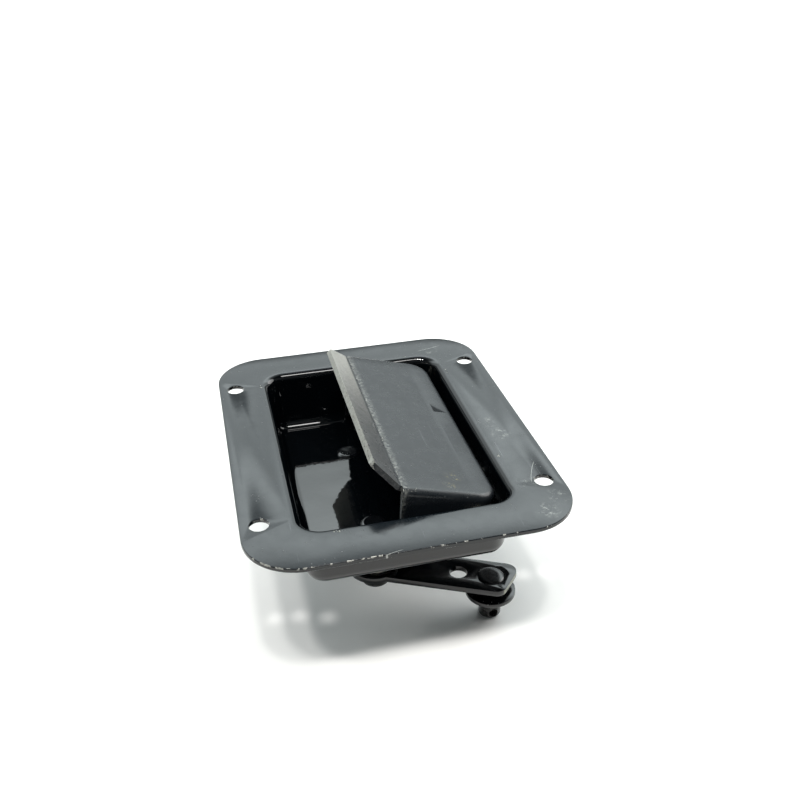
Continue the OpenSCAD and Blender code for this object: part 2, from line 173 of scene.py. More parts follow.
def arc_scratch(tree, place, centre, radius, at, reach, width=0.12):
    """A thin curved line: part of a circle about centre, kept within reach of the point at."""
    gap = add(tree, "ShaderNodeVectorMath", {0: place, 1: [c * MM for c in centre]}, operation="DISTANCE")
    off = add(tree, "minus", (gap.outputs["Value"], radius * MM))
    size = add(tree, "size", (off,))
    line = add(tree, "ramp", (size, width * MM, 0.3 * width * MM))
    return add(tree, "times", (line, near_point(tree, place, at, reach, 0.3)))


def any_of(tree, masks):
    """The largest of several masks."""
    total = masks[0]
    for mask in masks[1:]:
        total = add(tree, "larger", (total, mask))
    return total


def outline_gap(tree, place, half_x, half_y, corner):
    """Signed distance in metres from a rounded rectangle about the origin: negative inside it."""
    size = add(tree, "ShaderNodeVectorMath", {0: place}, operation="ABSOLUTE")
    inner = [(half_x - corner) * MM, (half_y - corner) * MM, 1.0]
    off = add(tree, "ShaderNodeVectorMath", {0: size, 1: inner}, operation="SUBTRACT")
    out = add(tree, "ShaderNodeVectorMath", {0: off, 1: (0, 0, 0)}, operation="MAXIMUM")
    reach = add(tree, "ShaderNodeVectorMath", {0: out}, operation="LENGTH")
    return add(tree, "minus", (reach.outputs["Value"], corner * MM))


def black_enamel(name, shade, sheen, dull, chipped=None, rubbed=None, marks=(), peel=0.9, deep=None,
                 dusty=1.0):
    """Black baked enamel over pressed steel: a smooth dark film that mirrors the room, with a faint
    orange peel, dust in it, fine scratches, and bare metal where an edge is chipped or rubbed.
    sheen is its roughness and dull how far dust and handling roughen it. chipped and rubbed each
    take (tree, place) and give how likely the film is gone. marks are (mask maker, colour, strength).
    deep gives where the film is sheltered, and has kept its first gloss, with no dust or scratches; there the
    film colour is also made darker, as painted shade."""
    material, tree, shader, place = new_material(name)
    exposed = add(tree, "minus", (1.0, deep(tree, place))) if deep else None

    # the film: nearly black, a little bluer or browner from place to place
    drift = add(tree, "grain", {"Vector": place, "Scale": per_mm(23.0), "Detail": 3.0})
    film = add(tree, "blend", {0: drift, 6: linear(shade[0]), 7: linear(shade[1])})
    colour = film.outputs[2]

    # dust and handling: fine pale specks about 0.3 mm wide, denser in some places
    cells = add(tree, "ShaderNodeTexVoronoi", {"Vector": place, "Scale": per_mm(1.7)})
    speck = add(tree, "ramp", (cells.outputs["Distance"], 0.17, 0.08))
    patch = add(tree, "ramp",
                (add(tree, "grain", {"Vector": place, "Scale": per_mm(9.0), "Detail": 4.0, "Roughness": 0.6}),
                 0.5, 0.68))
    dust = add(tree, "times", (add(tree, "times", (speck, patch)), dusty))
    if deep:
        # painted shade: where deep is 1 the film colour goes to near black #030507
        colour = add(tree, "blend", {0: exposed, 6: linear("#030507"), 7: colour}).outputs[2]
        dust = add(tree, "times", (dust, exposed))
    colour = add(tree, "blend",
                 {0: add(tree, "times", (dust, 0.35)), 6: colour, 7: linear("#8f9290")}).outputs[2]

    # hairline scratches, drawn 0.1 mm wide so that they show
    rubs = None
    for turn, seed in ((0.5, 3.1), (2.2, 17.3)):
        turned = add(tree, "ShaderNodeMapping",
                     {"Vector": place, "Location": (seed, seed / 2, 0), "Rotation": (0, 0, turn),
                      "Scale": (1.0, 0.035, 1.0)})
        lines = add(tree, "ramp",
                    (add(tree, "grain", {"Vector": turned, "Scale": per_mm(1.1), "Detail": 1.0}), 0.735,
                     0.77))
        rubs = add(tree, "larger", (rubs, lines)) if rubs else lines
    scratch = add(tree, "times",
                  (rubs, add(tree, "ramp",
                             (add(tree, "grain", {"Vector": place, "Scale": per_mm(31.0), "Detail": 2.0}),
                              0.48, 0.66))))
    if deep:
        scratch = add(tree, "times", (scratch, exposed))
    colour = add(tree, "blend",
                 {0: add(tree, "times", (scratch, 0.2)), 6: colour, 7: linear("#7d8285")}).outputs[2]

    for maker, tone, strength in marks:
        mask = add(tree, "times", (maker(tree, place), strength))
        colour = add(tree, "blend", {0: mask, 6: colour, 7: linear(tone)}).outputs[2]

    # roughness: smooth film, duller where dust lies, broken up at 4 mm
    haze = add(tree, "ramp",
               (add(tree, "grain", {"Vector": place, "Scale": per_mm(4.0), "Detail": 5.0, "Roughness": 0.65}),
                0.35, 0.75, sheen, dull))
    rough = add(tree, "ShaderNodeMix", {0: dust, 2: haze, 3: 0.7}).outputs[0]
    if deep:
        rough = add(tree, "ShaderNodeMix", {0: exposed, 2: 0.035, 3: rough}).outputs[0]

    # where the film is gone: steel, a little rusty in the pits
    bare = None
    flakes = add(tree, "grain", {"Vector": place, "Scale": per_mm(0.95), "Detail": 5.0, "Roughness": 0.7})
    if chipped:
        likely = chipped(tree, place)
        level = add(tree, "times_plus", (likely, 0.42, flakes))
        bare = add(tree, "ramp", (level, 0.78, 0.84))
    if rubbed:
        worn = rubbed(tree, place)
        streak = add(tree, "times_plus",
                     (worn, 0.75,
                      add(tree, "grain",
                          {"Vector": place, "Scale": per_mm(0.8), "Detail": 6.0, "Roughness": 0.75})))
        thin = add(tree, "times", (add(tree, "ramp", (streak, 0.72, 1.25)), worn))
        bare = add(tree, "larger", (bare, thin)) if bare else thin
    if bare:
        steel = add(tree, "blend",
                    {0: add(tree, "grain", {"Vector": place, "Scale": per_mm(0.9), "Detail": 4.0}),
                     6: linear("#c4c4be"), 7: linear("#77746c")}).outputs[2]
        colour = add(tree, "blend", {0: bare, 6: colour, 7: steel}).outputs[2]
        rough = add(tree, "ShaderNodeMix", {0: bare, 2: rough, 3: 0.42}).outputs[0]
        tree.links.new(add(tree, "times", (bare, 0.85)).outputs[0], shader.inputs["Metallic"])

    tree.links.new(colour, shader.inputs["Base Color"])
    tree.links.new(rough, shader.inputs["Roughness"])
    shader.inputs["IOR"].default_value = 1.52

    # relief: slow waves in the pressed sheet, orange peel about 1.5 mm across, specks and chips
    waves = add(tree, "relief",
                {"Height": add(tree, "grain", {"Vector": place, "Scale": per_mm(17.0), "Detail": 1.0}),
                 "Distance": 0.16 * MM * peel})
    skin = add(tree, "relief",
               {"Height": add(tree, "grain", {"Vector": place, "Scale": per_mm(1.5), "Detail": 2.0}),
                "Distance": 0.012 * MM * peel, "Normal": waves})
    grit = add(tree, "relief", {"Height": dust, "Distance": 0.03 * MM, "Normal": skin})
    if bare:
        grit = add(tree, "relief", {"Height": bare, "Distance": -0.08 * MM, "Normal": grit})
    tree.links.new(grit.outputs[0], shader.inputs["Normal"])
    return material


def plain_metal(name, light, dark, rough_low, rough_high, pits=0.02):
    """Bare, plated or sintered metal: two tones in fine patches, uneven gloss and tiny pits."""
    material, tree, shader, place = new_material(name)
    fine = add(tree, "grain", {"Vector": place, "Scale": per_mm(0.5), "Detail": 4.0, "Roughness": 0.6})
    broad = add(tree, "grain", {"Vector": place, "Scale": per_mm(5.0), "Detail": 3.0})
    tone = add(tree, "times_plus", (fine, 0.5, add(tree, "times", (broad, 0.5))))
    colour = add(tree, "blend", {0: add(tree, "ramp", (tone, 0.35, 0.65)), 6: linear(light), 7: linear(dark)})
    tree.links.new(colour.outputs[2], shader.inputs["Base Color"])
    shader.inputs["Metallic"].default_value = 1.0
    tree.links.new(add(tree, "ramp", (tone, 0.3, 0.7, rough_low, rough_high)).outputs[0],
                   shader.inputs["Roughness"])
    relief = add(tree, "relief", {"Height": fine, "Distance": pits * MM})
    tree.links.new(relief.outputs[0], shader.inputs["Normal"])
    return material


def moulded_nylon(name):
    """Natural nylon: creamy and slightly waxy, with flow marks about 3 mm across and black grease on it."""
    material, tree, shader, place = new_material(name)
    flow = add(tree, "grain", {"Vector": place, "Scale": per_mm(3.0), "Detail": 4.0})
    grease = add(tree, "ramp",
                 (add(tree, "grain",
                      {"Vector": place, "Scale": per_mm(2.2), "Detail": 5.0, "Roughness": 0.7}), 0.6, 0.72))
    body = add(tree, "blend", {0: flow, 6: linear("#ddd8c6"), 7: linear("#c9c2ab")})
    colour = add(tree, "blend",
                 {0: add(tree, "times", (grease, 0.6)), 6: body.outputs[2], 7: linear("#3a352c")})
    tree.links.new(colour.outputs[2], shader.inputs["Base Color"])
    tree.links.new(add(tree, "ramp", (flow, 0.3, 0.7, 0.38, 0.55)).outputs[0], shader.inputs["Roughness"])
    shader.inputs["IOR"].default_value = 1.53
    shader.inputs["Subsurface Weight"].default_value = 0.1
    relief = add(tree, "relief",
                 {"Height": add(tree, "grain", {"Vector": place, "Scale": per_mm(0.7), "Detail": 3.0}),
                  "Distance": 0.01 * MM})
    tree.links.new(relief.outputs[0], shader.inputs["Normal"])
    return material


# Where the pan's film is chipped: its sheared outer edge, the rolled rim and round the screw holes. The near
# edge gets more pale bare steel, which is partly real chipping and partly a painted highlight.
def pan_chipped(tree, place):
    half_x, half_y = pan_high.x, pan_high.y
    outer = outline_gap(tree, place, half_x, half_y, FLANGE_CORNER)
    edge = add(tree, "ramp", (outer, -0.5 * MM, -0.22 * MM))
    parts = add(tree, "ShaderNodeSeparateXYZ", {0: place})
    # painted highlight: the edge's bare steel is weighted 0.95 on the near side against 0.5 elsewhere
    near_side_highlight = add(tree, "ramp", (parts.outputs[1], -0.055, -0.066, 0.5, 0.95))
    patchy = add(tree, "times",
                 (add(tree, "ramp",
                      (add(tree, "grain", {"Vector": place, "Scale": per_mm(2.1), "Detail": 3.0}), 0.46,
                       0.6)), add(tree, "ramp", (parts.outputs[2], 0.9 * MM, 1.2 * MM))))
    edge = add(tree, "times", (add(tree, "times", (edge, near_side_highlight)), patchy))
    roll = outline_gap(tree, place, *OPENING)
    off_roll = add(tree, "size", (roll,))
    rim = add(tree, "times",
              (add(tree, "ramp", (off_roll, 1.5 * MM, 0.2 * MM)),
               add(tree, "ramp", (parts.outputs[2], -0.6 * MM, 0.6 * MM))))
    rim = add(tree, "times",
              (rim, add(tree, "ramp",
                        (add(tree, "grain", {"Vector": place, "Scale": per_mm(7.0), "Detail": 2.0}), 0.6, 0.7,
                         0.0, 0.6))))
    mirrored = add(tree, "ShaderNodeVectorMath", {0: place}, operation="ABSOLUTE")
    hole = near_point(tree, mirrored, (HOLE_AT[0], HOLE_AT[1], SHEET), 4.6, 0.35)
    return add(tree, "larger", (add(tree, "larger", (edge, rim)), add(tree, "times", (hole, 0.55))))


def pan_recess_gloss_and_shade(tree, place):
    """The recess and its far rim are sheltered: handling has dulled only the flange. Everything below the
    flange's top face also gets a darker film colour, as painted shade.
    """
    parts = add(tree, "ShaderNodeSeparateXYZ", {0: place})
    return add(tree, "ramp", (parts.outputs[2], 1.42 * MM, 1.15 * MM))


def flake_lines(points):
    """Dark cracks with lifted film, as contour lines of a grain near each (point, radius)."""
    def mask(tree, place):
        level = add(tree, "minus",
                    (add(tree, "grain",
                         {"Vector": place, "Scale": per_mm(5.0), "Detail": 5.0, "Roughness": 0.65}), 0.5))
        line = add(tree, "ramp", (add(tree, "size", (level,)), 0.016, 0.004))
        return add(tree, "times",
                   (line, any_of(tree, [near_point(tree, place, *spot, 0.3) for spot in points])))
    return mask


def scuffs(points, size=2.5, start=0.5):
    """Cloudy pale scuffs near each (point, radius)."""
    def mask(tree, place):
        cloud = add(tree, "ramp",
                    (add(tree, "grain",
                         {"Vector": place, "Scale": per_mm(size), "Detail": 6.0, "Roughness": 0.75}), start,
                     start + 0.22))
        return add(tree, "times",
                   (cloud, any_of(tree, [near_point(tree, place, *spot, 0.9) for spot in points])))
    return mask


def scratches(*arcs):
    """Curved scratches, each given as arc_scratch takes it."""
    return lambda tree, place: any_of(tree, [arc_scratch(tree, place, *line) for line in arcs])


TOP = SHEET
pan_marks = (
    (flake_lines((((-45.0, -64.5, TOP), 7.5), ((-52.0, -50.3, TOP), 3.5), ((-42.0, -18.2, TOP), 4.5))),
     "#050607", 0.95),
    (scratches(((54.0, 33.0, TOP), 11.5, (44.2, 25.0, TOP), 9.0, 0.22)), "#060708", 0.9),
    (scratches(((5.0, -140.0, TOP), 72.0, (-12.0, -69.0, TOP), 6.0, 0.12),
               ((90.0, -60.0, TOP), 49.0, (46.0, -40.0, TOP), 7.0, 0.12),
               ((20.0, 120.0, TOP), 62.0, (36.0, 60.0, TOP), 6.0, 0.12)), "#b0b2ae", 0.6),
    (scuffs((((43.0, -61.6, TOP), 6.0), ((49.0, -55.0, TOP), 6.0), ((43.5, -14.0, TOP), 6.0),
             ((41.0, -5.0, TOP), 5.0), ((42.0, -45.0, TOP), 5.0), ((36.0, 59.0, TOP), 6.0))), "#a9aca6", 0.5),
    (scuffs((((-47.6, -45.5, TOP), 7.0), ((47.6, -45.5, TOP), 6.5)), 1.4, 0.52), "#5e615f", 0.5),
)


def paddle_place(tree, place):
    """The same place measured along and square to the paddle's face, from the lip's crease."""
    return add(tree, "ShaderNodeMapping",
               {"Vector": place, "Location": (CREASE[0] * MM, 0, CREASE[1] * MM), "Rotation": (0, SLOPE, 0)},
               vector_type="TEXTURE").outputs[0]


def lip_rubbed(tree, place):
    """Hands have thinned the film on the lip, most at its tip and its far end."""
    parts = add(tree, "ShaderNodeSeparateXYZ", {0: paddle_place(tree, place)})
    lip = add(tree, "ramp", (parts.outputs[0], 0.4 * MM, -1.0 * MM))
    above = add(tree, "ramp", (parts.outputs[2], -1.2 * MM, -0.4 * MM))
    far = add(tree, "ramp", (parts.outputs[1], -0.03, 0.05, 0.40, 0.92))
    return add(tree, "times", (add(tree, "times", (lip, above)), far))


def paddle_chipped(tree, place):
    parts = add(tree, "ShaderNodeSeparateXYZ", {0: paddle_place(tree, place)})
    tip = add(tree, "ramp", (parts.outputs[0], -7.5 * MM, -9.3 * MM))
    crease = add(tree, "times",
                 (add(tree, "ramp", (parts.outputs[0], 1.8 * MM, 0.8 * MM)),
                  add(tree, "ramp", (parts.outputs[0], -0.4 * MM, 0.6 * MM))))
    size = add(tree, "size", (parts.outputs[1],))
    side = add(tree, "times",
               (add(tree, "ramp", (size, 46.4 * MM, 47.6 * MM)),
                add(tree, "ramp", (size, 49.4 * MM, 48.6 * MM))))
    bend = add(tree, "times", (side, add(tree, "ramp", (parts.outputs[0], 20 * MM, 0, 0.15, 0.8))))
    return add(tree, "larger",
               (add(tree, "larger", (tip, add(tree, "times", (crease, 0.55)))),
                add(tree, "times", (bend, 0.7))))


def crease_dust(tree, place):
    parts = add(tree, "ShaderNodeSeparateXYZ", {0: paddle_place(tree, place)})
    line = add(tree, "times",
               (add(tree, "ramp", (parts.outputs[0], 3.4 * MM, 1.0 * MM)),
                add(tree, "ramp", (parts.outputs[0], 0.0, 0.8 * MM))))
    return add(tree, "times",
               (line, add(tree, "ramp",
                          (add(tree, "grain",
                               {"Vector": place, "Scale": per_mm(1.1), "Detail": 6.0, "Roughness": 0.75}),
                           0.42, 0.62))))


def on_paddle(along, across):
    """A point on the paddle's face, along it from the crease and across it on Y."""
    return (CREASE[0] + along * math.cos(SLOPE), across, CREASE[1] - along * math.sin(SLOPE))


paddle_marks = (
    (crease_dust, "#8b8d88", 0.55),
    (scuffs(((on_paddle(21.0, -38.5), 4.5), (on_paddle(18.0, -45.0), 4.0)), 1.2, 0.5), "#9a8f5c", 0.6),
    (scuffs(((on_paddle(30.0, -33.0), 7.0), (on_paddle(30.0, -10.0), 9.0)), 1.0, 0.56), "#7c7d7b", 0.5),
)


def arm_end_bare(tree, place):
    """The arm's sheared slanted end has almost no film, from just below its upper edge."""
    way = ARM_TURN - END_SLANT
    out = add(tree, "ShaderNodeVectorMath", {0: place, 1: (math.cos(way), math.sin(way), 0)},
              operation="DOT_PRODUCT")
    reach = POSTS[0][0] * math.cos(way) + POSTS[0][1] * math.sin(way) + ARM_END * math.cos(END_SLANT)
    end = add(tree, "ramp", (out.outputs["Value"], (reach - 0.5) * MM, (reach - 0.1) * MM))
    parts = add(tree, "ShaderNodeSeparateXYZ", {0: place})
    torn = add(tree, "ramp",
               (add(tree, "grain", {"Vector": place, "Scale": per_mm(0.8), "Detail": 4.0, "Roughness": 0.7}),
                0.3, 0.5, 0.55, 1.0))
    below = add(tree, "ramp", (parts.outputs[2], (ARM_TOP - 0.15) * MM, (ARM_TOP - 0.4) * MM))
    return add(tree, "times", (add(tree, "times", (end, below)), torn))


def pin_rubbed(tree, place):
    """Rods have worn the pin's end and the washer's edge."""
    parts = add(tree, "ShaderNodeSeparateXYZ", {0: place})
    return add(tree, "ramp", (parts.outputs[2], -45.2 * MM, -46.2 * MM, 0.0, 0.42))


pan_enamel = black_enamel("baked_black_enamel_on_pan", ("#14191d", "#0e1317"), 0.15, 0.24,
                          chipped=pan_chipped, marks=pan_marks, deep=pan_recess_gloss_and_shade)
paddle_enamel = black_enamel("baked_black_enamel_on_paddle", ("#161a1e", "#101418"), 0.26, 0.38,
                             chipped=paddle_chipped, rubbed=lip_rubbed, marks=paddle_marks)
# painted shade: the arm's film is made darker than the pan's, for the shade it lies in under the pan; the
# drive finger and weld bead share it
arm_enamel_with_shade = black_enamel("gloss_black_enamel_on_arm_with_painted_shade", ("#05070a", "#030406"), 0.06, 0.13,
                          marks=((arm_end_bare, "#8b8d7c", 0.85),), peel=0.1, dusty=0.1)
pin_enamel = black_enamel("thin_black_enamel_on_turned_steel", ("#07090c", "#050608"), 0.10, 0.22,
                          rubbed=pin_rubbed, peel=0.3)
zinc_plate = plain_metal("bright_zinc_plate", "#c9c7bf", "#a7a59b", 0.26, 0.42, 0.004)
spring_wire = plain_metal("oiled_spring_wire", "#6b6c6c", "#3c3d3e", 0.28, 0.45, 0.004)
sintered_bronze = plain_metal("oil_filled_sintered_bronze", "#a07a44", "#6f5230", 0.38, 0.6, 0.03)
natural_nylon = moulded_nylon("natural_nylon")


# ---------------------------------------------------------------- mesh helpers

def rounded(corners, steps=5):
    """A closed outline from (x, y, radius) corners, each turned into an arc of that radius."""
    outline = []
    count = len(corners)
    for i, (x, y, r) in enumerate(corners):
        here = Vector((x, y))
        if r == 0:
            outline.append((x, y))
            continue
        before = (Vector(corners[i - 1][:2]) - here).normalized()
        after = (Vector(corners[(i + 1) % count][:2]) - here).normalized()
        half = before.angle(after) / 2
        start = here + before * r / math.tan(half)
        centre = here + (before + after).normalized() * r / math.sin(half)
        first = start - centre
        sweep = math.pi - 2 * half
        if before.x * after.y - before.y * after.x > 0:
            sweep = -sweep
        for k in range(steps + 1):
            a = sweep * k / steps
            turned = Vector((first.x * math.cos(a) - first.y * math.sin(a),
                             first.x * math.sin(a) + first.y * math.cos(a)))
            outline.append(tuple(centre + turned))
    return outline


def turned_piece(profile, steps=48, centre=(0, 0)):
    """A solid turned about Z from a closed (radius, height) outline."""
    shape = bmesh.new()
    rings = []
    for k in range(steps):
        a = 2 * math.pi * k / steps
        rings.append([shape.verts.new((centre[0] + r * math.cos(a), centre[1] + r * math.sin(a), z))
                      for r, z in profile])
    for k in range(steps):
        one, two = rings[k], rings[(k + 1) % steps]
        for i in range(len(profile)):
            j = (i + 1) % len(profile)
            if profile[i][0] < 1e-6 and profile[j][0] < 1e-6:
                continue
            shape.faces.new((one[i], one[j], two[j], two[i]))
    bmesh.ops.remove_doubles(shape, verts=shape.verts, dist=1e-4)
    bmesh.ops.dissolve_degenerate(shape, dist=1e-5, edges=shape.edges)
    bmesh.ops.recalc_face_normals(shape, faces=shape.faces)
    return shape


def plate(outline, low, high, edge=0.2):
    """A flat plate between two heights whose rims are rounded by edge."""
    shape = bmesh.new()
    bottom = [shape.verts.new((x, y, low)) for x, y in outline]
    top = [shape.verts.new((x, y, high)) for x, y in outline]
    shape.faces.new(list(reversed(bottom)))
    shape.faces.new(top)
    rims = []
    for i in range(len(outline)):
        j = (i + 1) % len(outline)
        shape.faces.new((bottom[i], bottom[j], top[j], top[i]))
    bmesh.ops.recalc_face_normals(shape, faces=shape.faces)
    if edge:
        for e in shape.edges:
            if abs(e.verts[0].co.z - e.verts[1].co.z) < 1e-6:
                rims.append(e)
        bmesh.ops.bevel(shape, geom=rims, offset=edge, segments=2, profile=0.5, affect="EDGES",
                        clamp_overlap=True)
    return shape


def loose_object(name, shape):
    """A mesh object in millimetres that is still being worked on."""
    mesh = bpy.data.meshes.new(name)
    shape.to_mesh(mesh)
    shape.free()
    thing = bpy.data.objects.new(name, mesh)
    scene.collection.objects.link(thing)
    return thing


def settled(thing):
    """The mesh of an object with its modifiers worked in, as a new bmesh. The object is removed."""
    bpy.context.view_layer.update()
    mesh = bpy.data.meshes.new_from_object(thing.evaluated_get(bpy.context.evaluated_depsgraph_get()))
    shape = bmesh.new()
    shape.from_mesh(mesh)
    bpy.data.objects.remove(thing)
    bpy.data.meshes.remove(mesh)
    return shape


def combine(base, others, operation):
    """A solid with others cut from it or joined to it."""
    thing = loose_object("work", base)
    tools = [loose_object("tool", other) for other in others]
    for tool in tools:
        work = thing.modifiers.new("combine", "BOOLEAN")
        work.operation = operation
        work.solver = "EXACT"
        work.object = tool
    shape = settled(thing)
    for tool in tools:
        bpy.data.objects.remove(tool)
    return shape


def placed(mesh, body, nodes):
    """Puts a finished mesh on its body and the nodes that it stands for."""
    thing = bpy.data.objects.new(mesh.name, mesh)
    scene.collection.objects.link(thing)
    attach(thing, body)
    if nodes:
        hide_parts(*nodes)
    return thing


def finished(name, shape, body, nodes, material, sharp=34.0, place=None):
    """Makes the piece from a shape in millimetres, smooth but for its sharp edges, on its body."""
    if place is not None:
        bmesh.ops.transform(shape, matrix=place, verts=shape.verts)
    bmesh.ops.triangulate(shape, faces=[f for f in shape.faces if len(f.verts) > 4])
    mesh = bpy.data.meshes.new(name)
    shape.to_mesh(mesh)
    shape.free()
    mesh.transform(Matrix.Scale(MM, 4))
    mesh.shade_smooth()
    mesh.set_sharp_from_angle(angle=math.radians(sharp))
    mesh.materials.append(material)
    return placed(mesh, body, nodes)


def hole_tool(r, low, high, flare=0.35, steps=48, centre=(0, 0)):
    """Cuts a round hole whose two rims are eased by flare."""
    return turned_piece([(0, low - 1), (r + flare + 1, low - 1), (r + flare, low),
                         (r + 0.3 * flare, low + 0.3 * flare), (r, low + flare), (r, high - flare),
                         (r + 0.3 * flare, high - 0.3 * flare), (r + flare, high), (r + flare + 1, high + 1),
                         (0, high + 1)], steps, centre)


# ---------------------------------------------------------------- mounting pan

def arc(centre, r, start, end, steps):
    """Points of an arc between two angles in degrees."""
    turns = [math.radians(start + (end - start) * i / steps) for i in range(steps + 1)]
    return [(centre[0] + r * math.cos(a), centre[1] + r * math.sin(a)) for a in turns]


def recess_ring(shape, reach, z, corner_steps=16):
    """A rounded rectangle round the recess, reach out from its corners' axes."""
    axis_x, axis_y = OPENING[0] - OPENING[2], OPENING[1] - OPENING[2]
    return loop(shape, axis_x, axis_y, reach, z, corner_steps)


def loop(shape, axis_x, axis_y, r, z, corner_steps=16):
    verts = []
    for sx, sy, start in ((1, 1, 0), (-1, 1, 90), (-1, -1, 180), (1, -1, 270)):
        for k in range(corner_steps + 1):
            a = math.radians(start + 90 * k / corner_steps)
            verts.append(shape.verts.new((sx * axis_x + r * math.cos(a), sy * axis_y + r * math.sin(a), z)))
    return verts


def bridge(shape, one, two):
    for i in range(len(one)):
        j = (i + 1) % len(one)
        shape.faces.new((one[i], one[j], two[j], two[i]))


def pan_shape():
    draft = math.radians(WALL_DRAFT)
    roll = (OPENING[2], SHEET - RIM_R)
    wall_top = (roll[0] - RIM_R * math.cos(draft), roll[1] + RIM_R * math.sin(draft))
    run = (wall_top[1] + FILLET_R * math.sin(draft) - FLOOR_Z - FILLET_R) / math.cos(draft)
    fillet = (wall_top[0] - run * math.sin(draft) - FILLET_R * math.cos(draft),
              wall_top[1] - run * math.cos(draft) + FILLET_R * math.sin(draft))
    inner = arc(fillet, FILLET_R, -90, -WALL_DRAFT, 9) + arc(roll, RIM_R, 180 - WALL_DRAFT, 90, 9)
    outer = arc(roll, RIM_R - SHEET, 90, 180 - WALL_DRAFT, 7) \
        + arc(fillet, FILLET_R + SHEET, -WALL_DRAFT, -90, 9)
    shape = bmesh.new()
    rings = [recess_ring(shape, reach, z) for reach, z in inner]
    edge = 0.32
    out_x, out_y = pan_high.x - FLANGE_CORNER, pan_high.y - FLANGE_CORNER
    rings.append(loop(shape, out_x, out_y, FLANGE_CORNER - edge, SHEET))
    for a in (30, 60, 90):
        reach = FLANGE_CORNER - edge + edge * math.sin(math.radians(a))
        rings.append(loop(shape, out_x, out_y, reach, SHEET - edge + edge * math.cos(math.radians(a))))
    rings.append(loop(shape, out_x, out_y, FLANGE_CORNER, 0.12))
    rings.append(loop(shape, out_x, out_y, FLANGE_CORNER - 0.12, 0.0))
    rings += [recess_ring(shape, reach, z) for reach, z in outer]
    for one, two in zip(rings, rings[1:]):
        bridge(shape, one, two)
    shape.faces.new(list(reversed(rings[0])))
    shape.faces.new(rings[-1])
    bmesh.ops.recalc_face_normals(shape, faces=shape.faces)
    tools = [hole_tool(HOLE_R, 0.0, SHEET, 0.28, 48, (sx * HOLE_AT[0], sy * HOLE_AT[1]))
             for sx in (-1, 1) for sy in (-1, 1)]
    slot = rounded([(4.8, -1.0, 1.0), (28.0, -1.0, 1.0), (28.0, 7.0, 1.0), (4.8, 7.0, 1.0)])
    tools.append(plate(slot, FLOOR_Z - SHEET - 1, FLOOR_Z + 1, 0))
    return combine(shape, tools, "DIFFERENCE")


finished("mounting_pan_pressing", pan_shape(), "pan", ["mounting_pan"], pan_enamel, 30)


# ---------------------------------------------------------------- posts, collar and washers below the pan

def post_profile(post_r, shoulder, neck_r, end):
    """A post's riveted head on the pan's floor, its shank through the sheet and its body below."""
    head = 4.7
    top = FLOOR_Z + 0.8
    shank = 3.0
    corners = [(0, top - 0.12), (head - 1.5, top - 0.04), (head - 1.1, top - 0.02),
               (head - 0.55, FLOOR_Z + 0.55), (head - 0.12, FLOOR_Z + 0.26), (head, FLOOR_Z + 0.02),
               (shank, FLOOR_Z), (shank, FLOOR_Z - SHEET), (post_r - 0.3, FLOOR_Z - SHEET),
               (post_r, FLOOR_Z - SHEET - 0.3)]
    if neck_r:
        corners += [(post_r, shoulder + 0.25), (post_r - 0.25, shoulder), (neck_r, shoulder),
                    (neck_r, end + 0.5), (neck_r - 0.5, end)]
    else:
        corners += [(post_r, end + 0.6), (post_r - 0.2, end + 0.2), (post_r - 0.6, end)]
    return corners + [(0, end)]


finished("pivot_post_turned",
         turned_piece(post_profile(POST_R, ARM_TOP + 1.1, NECK_R, collar_low.z), 56, POSTS[0]), "pan",
         ["pivot_post"], pin_enamel, 26)
spring_low, spring_high = span("spring_post")
finished("spring_post_turned", turned_piece(post_profile(SPRING_POST_R, 0, 0, spring_low.z), 56, POSTS[1]),
         "pan", ["spring_post"], pin_enamel, 26)


def washer_profile(bore, r, low, high, edge=0.15):
    return [(bore, low + edge), (bore + edge, low), (r - edge, low), (r - 0.3 * edge, low + 0.3 * edge),
            (r, low + edge), (r, high - edge), (r - 0.3 * edge, high - 0.3 * edge), (r - edge, high),
            (bore + edge, high), (bore, high - edge)]


finished("pivot_collar_turned",
         turned_piece(washer_profile(NECK_R, POST_R, collar_low.z, collar_high.z, 0.5), 56, POSTS[0]),
         "pan", ["pivot_collar"], pin_enamel, 26)
for name, node in (("upper_thrust_washer_ring", "thrust_washer_upper"),
                   ("lower_thrust_washer_ring", "thrust_washer_lower")):
    low, high = span(node)
    finished(name, turned_piece(washer_profile(NECK_R, 7.5, low.z, high.z, 0.12), 56, POSTS[0]),
             "pan", [node], zinc_plate, 26)
low, high = span("arm_bushing")
finished("arm_bushing_ring", turned_piece(washer_profile(3.8, 5.0, low.z, high.z, 0.18), 56, POSTS[0]),
         "arm", ["arm_bushing"], sintered_bronze, 26)


# ---------------------------------------------------------------- lever arm

def on_arm(reach, across):
    """A point of the arm's own plan: reach out along its line from the pivot, and across it."""
    return (POSTS[0][0] + reach * math.cos(ARM_TURN) - across * math.sin(ARM_TURN),
            POSTS[0][1] + reach * math.sin(ARM_TURN) + across * math.cos(ARM_TURN))


